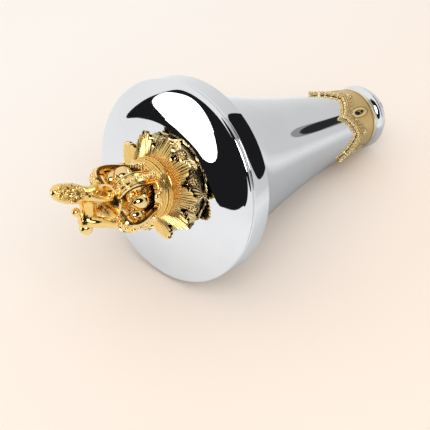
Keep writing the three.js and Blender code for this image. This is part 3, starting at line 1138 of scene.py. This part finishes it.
def dark_floor():
    """The foot of the dark end, where it runs out over the table towards the mace."""
    bm = bmesh.new()
    near = [flowing(DARK_FLOOR, i / 24) for i in range(25)]
    far = [Vector((DARK_FLOOR[-1][0], DARK_FLOOR_END)), Vector((DARK_FLOOR[0][0], DARK_FLOOR_END))]
    corners = [
        bm.verts.new((out * math.cos(math.radians(turn)), out * math.sin(math.radians(turn)), 0.0004))
        for turn, out in near + far
    ]
    bm.faces.new(corners)
    bmesh.ops.triangulate(bm, faces=bm.faces[:])
    bmesh.ops.translate(bm, verts=bm.verts, vec=(seam.x, 0, 0))
    only_in_reflections(stage_object("dark_floor", bm, plain_material("black_floor", BLACK, 1.0)))


def flag(name, outline, colour, strength):
    """A sheet held close over the dome and seen only in its reflection, in place of the finial's own image:
    painted shade where black, a painted reflection of light where it glows.
    """
    bm = bmesh.new()
    bm.faces.new([bm.verts.new(corner) for corner in outline])
    bmesh.ops.triangulate(bm, faces=bm.faces[:])
    bmesh.ops.transform(bm, matrix=LAID, verts=bm.verts)
    only_in_reflections(stage_object(name, bm, plain_material(name, colour, strength)))


def card(name, outline, radius, colour, strength):
    """A curved card standing around the mace, its outline in degrees about +Z and metres up."""
    bm = bmesh.new()
    corners = [bm.verts.new((turn, height, 0)) for turn, height in around(outline, 90)]
    bmesh.ops.triangulate(bm, faces=[bm.faces.new(corners)])
    low = min(corner.co.x for corner in corners)
    high = max(corner.co.x for corner in corners)
    strips = math.ceil((high - low) / 3.0)
    for i in range(1, strips):
        edge = (low + (high - low) * i / strips, 0, 0)
        everything = bm.verts[:] + bm.edges[:] + bm.faces[:]
        bmesh.ops.bisect_plane(bm, geom=everything, dist=1e-6, plane_co=edge, plane_no=(1, 0, 0))
    for corner in bm.verts:
        turn = math.radians(corner.co.x)
        height = corner.co.y
        corner.co = (radius * math.cos(turn), radius * math.sin(turn), height)
    bmesh.ops.translate(bm, verts=bm.verts, vec=(seam.x, 0, 0))
    only_in_reflections(stage_object(name, bm, plain_material(name, colour, strength)))


def area_light(name, azimuth, elevation, distance, size, power):
    data = bpy.data.lights.new(name, "AREA")
    data.shape = "DISK"
    data.size = size
    data.energy = power
    lamp = bpy.data.objects.new(name, data)
    outward = pointing(azimuth, elevation)
    lamp.location = AIM + outward * distance
    lamp.rotation_euler = outward.to_track_quat("Z", "Y").to_euler()
    lamp.visible_glossy = False
    lamp.visible_camera = False
    bpy.context.scene.collection.objects.link(lamp)


def surroundings():
    """White walls, a little dimmer behind the camera's right hand."""
    world = bpy.data.worlds.new("studio")
    world.use_nodes = True
    nodes, links = world.node_tree.nodes, world.node_tree.links
    direction = nodes.new("ShaderNodeTexCoord").outputs["Generated"]
    towards = nodes.new("ShaderNodeVectorMath")
    towards.operation = "DOT_PRODUCT"
    towards.inputs[1].default_value = pointing(*DIM_SIDE)
    links.new(direction, towards.inputs[0])
    ramp = nodes.new("ShaderNodeValToRGB")
    ramp.color_ramp.interpolation = "EASE"
    for stop, (position, grey) in zip(ramp.color_ramp.elements, SKY_STOPS):
        stop.position = position
        stop.color = (grey, grey, grey, 1.0)
    links.new(towards.outputs["Value"], ramp.inputs["Fac"])
    links.new(ramp.outputs["Color"], nodes["Background"].inputs["Color"])
    bpy.context.scene.world = world
    bpy.context.scene.view_settings.view_transform = "Standard"


# The table colour runs to painted light at its far side.
TABLE_COLOUR = (0.915, 0.79, 0.69, 1.0)
TABLE_FAR_PAINTED_LIGHT = (0.93, 0.875, 0.82, 1.0)
TABLE_SPAN = (-0.10, 0.28)
MIRRORED_COLOUR = (0.88, 0.88, 0.89, 1.0)
TABLE_FADE = (0.12, 0.45)
# The painted shadow under the neck, seen only in the metal's reflection of the table.
UNDER_NECK = (0.085, -0.035, 0.0)
UNDER_REACH = (0.07, 0.16)
UNDER_NECK_PAINTED_SHADOW = (0.50, 0.50, 0.505, 1.0)
DIM_SIDE = (-15, 0)
SKY_STOPS = [(0.35, 0.9), (0.95, 0.66)]
BLACK = (0.012, 0.012, 0.013, 1.0)
WHITE = (1.0, 1.0, 1.0, 1.0)

# The dark end of the studio beyond the table, with a window of light in front of it.
DARK_END = [
    (127.3, -0.006),
    (133, 0.004),
    (139, 0.012),
    (145, 0.002),
    (150, -0.010),
    (160, -0.012),
    (177, -0.012),
    (184, 0.012),
    (192, 0.070),
    (200, 0.150),
    (204, 0.235),
    (202, 0.300),
    (186, 0.340),
    (166, 0.385),
    (150, 0.345),
    (140, 0.262),
    (135.5, 0.130),
    (131, 0.056),
]
DARK_FLOOR_END = 0.75
DARK_FLOOR = [
    (146.5, 0.50),
    (149.5, 0.47),
    (152, 0.42),
    (156.7, 0.32),
    (160.8, 0.268),
    (165, 0.250),
    (173.3, 0.305),
    (180.5, 0.50),
]
WINDOW = [
    (133.9, 0.076),
    (135.7, 0.124),
    (139.8, 0.166),
    (145.1, 0.207),
    (150.0, 0.199),
    (153.9, 0.152),
    (156.0, 0.106),
    (156.8, 0.073),
    (156.3, 0.039),
    (155.1, 0.014),
    (153.0, -0.001),
    (150.6, 0.000),
    (145.5, 0.013),
    (138.9, 0.036),
    (135.0, 0.053),
]
SIDE_CARD = [
    (311.5, 0.085),
    (316, 0.075),
    (326, 0.150),
    (338, 0.245),
    (348, 0.300),
    (356, 0.340),
    (357, 0.440),
    (346, 0.460),
    (334, 0.410),
    (322, 0.310),
    (314, 0.190),
]
# The unlit studio around the camera, with a soft box hung in the middle of it.
CAMERA_SIDE = [
    (182, 0.40),
    (205, 0.22),
    (235, 0.18),
    (270, 0.22),
    (290, 0.36),
    (296, 0.70),
    (288, 1.30),
    (262, 1.80),
    (222, 1.95),
    (195, 1.60),
    (180, 0.95),
]
SOFT_BOX = [
    (203, 0.42),
    (214, 0.35),
    (232, 0.36),
    (241, 0.48),
    (240, 0.66),
    (228, 0.76),
    (211, 0.72),
    (202, 0.56),
]
# Two flags over the dome, as (x, y, station) about the axis: the black one painted shade, the glowing white
# one a painted reflection of light. They share the edge between them.
FLAG = [
    (32.8, -26.6, -12.7),
    (34.2, -13.1, -13.2),
    (32.8, -3.8, -13.5),
    (31.3, 5.2, -13.6),
    (30.0, 11.5, -13.6),
    (25.9, 17.6, -13.7),
    (21.3, 22.8, -13.7),
    (13.3, 29.6, -13.7),
    (7.9, 34.5, -13.5),
    (4.5, 37.7, -13.4),
    (2.8, 40.9, -13.2),
    (3.7, 45.5, -13.0),
    (7.4, 50.3, -12.6),
    (21.0, 47.9, -12.6),
    (36.2, 43.4, -12.3),
    (45.9, 38.7, -11.9),
    (51.3, 30.7, -11.9),
    (46.5, 24.6, -12.5),
    (43.2, 27.1, -12.7),
    (39.4, 29.3, -12.8),
    (35.9, 30.8, -13.0),
    (32.4, 31.4, -13.1),
    (29.7, 30.6, -13.3),
    (27.9, 29.0, -13.4),
    (26.8, 26.4, -13.5),
    (26.7, 24.0, -13.6),
    (27.2, 21.4, -13.6),
    (30.5, 15.6, -13.6),
    (33.3, 8.1, -13.5),
    (36.3, -3.0, -13.3),
    (38.2, -14.2, -13.0),
    (38.6, -25.3, -12.5),
]
WHITE_FLAG = [*reversed(FLAG[17:31]), (51.3, 19.1, -12.3), (50.8, 4.2, -12.5)]
STREAK_CARD = [
    (345.4, 0.056),
    (346.5, 0.059),
    (348.0, 0.069),
    (349.3, 0.078),
    (351.0, 0.091),
    (352.2, 0.102),
    (351.5, 0.105),
    (349.8, 0.095),
    (348.0, 0.083),
    (346.2, 0.068),
]
STREAK_EDGE = [
    (344.6, 0.051),
    (346.6, 0.054),
    (348.4, 0.065),
    (349.9, 0.075),
    (351.8, 0.089),
    (353.2, 0.103),
    (351.6, 0.110),
    (349.2, 0.099),
    (347.2, 0.086),
    (345.2, 0.069),
]
DIM = (0.30, 0.30, 0.31, 1.0)


def camera():
    data = bpy.data.cameras.new("camera")
    data.lens = VIEW["lens"]
    data.sensor_width = 36.0
    data.clip_start = 0.01
    seen = bpy.data.objects.new("camera", data)
    outward = pointing(VIEW["azimuth"] - 90, VIEW["elevation"])
    seen.location = AIM + outward * VIEW["distance"]
    seen.rotation_euler = outward.to_track_quat("Z", "Y").to_euler()
    bpy.context.scene.collection.objects.link(seen)
    bpy.context.scene.camera = seen


camera()
surroundings()
table()
dark_floor()
flag("black_flag", FLAG, BLACK, 1.0)
flag("white_flag", WHITE_FLAG, WHITE, 2.6)
card("dark_end", DARK_END, 0.50, BLACK, 1.0)
card("window_light", WINDOW, 0.49, WHITE, 2.6)
card("dark_side", SIDE_CARD, 0.50, BLACK, 1.0)
card("streak_edge", STREAK_EDGE, 0.495, DIM, 1.0)
card("dark_streak", STREAK_CARD, 0.49, BLACK, 2.0)
card("camera_side", CAMERA_SIDE, 0.60, BLACK, 1.0)
card("soft_box", SOFT_BOX, 0.58, WHITE, 5.0)
area_light("key", 118, 74, 1.6, 1.7, 1.7)
area_light("fill", 232, 50, 1.6, 1.3, 7.6)
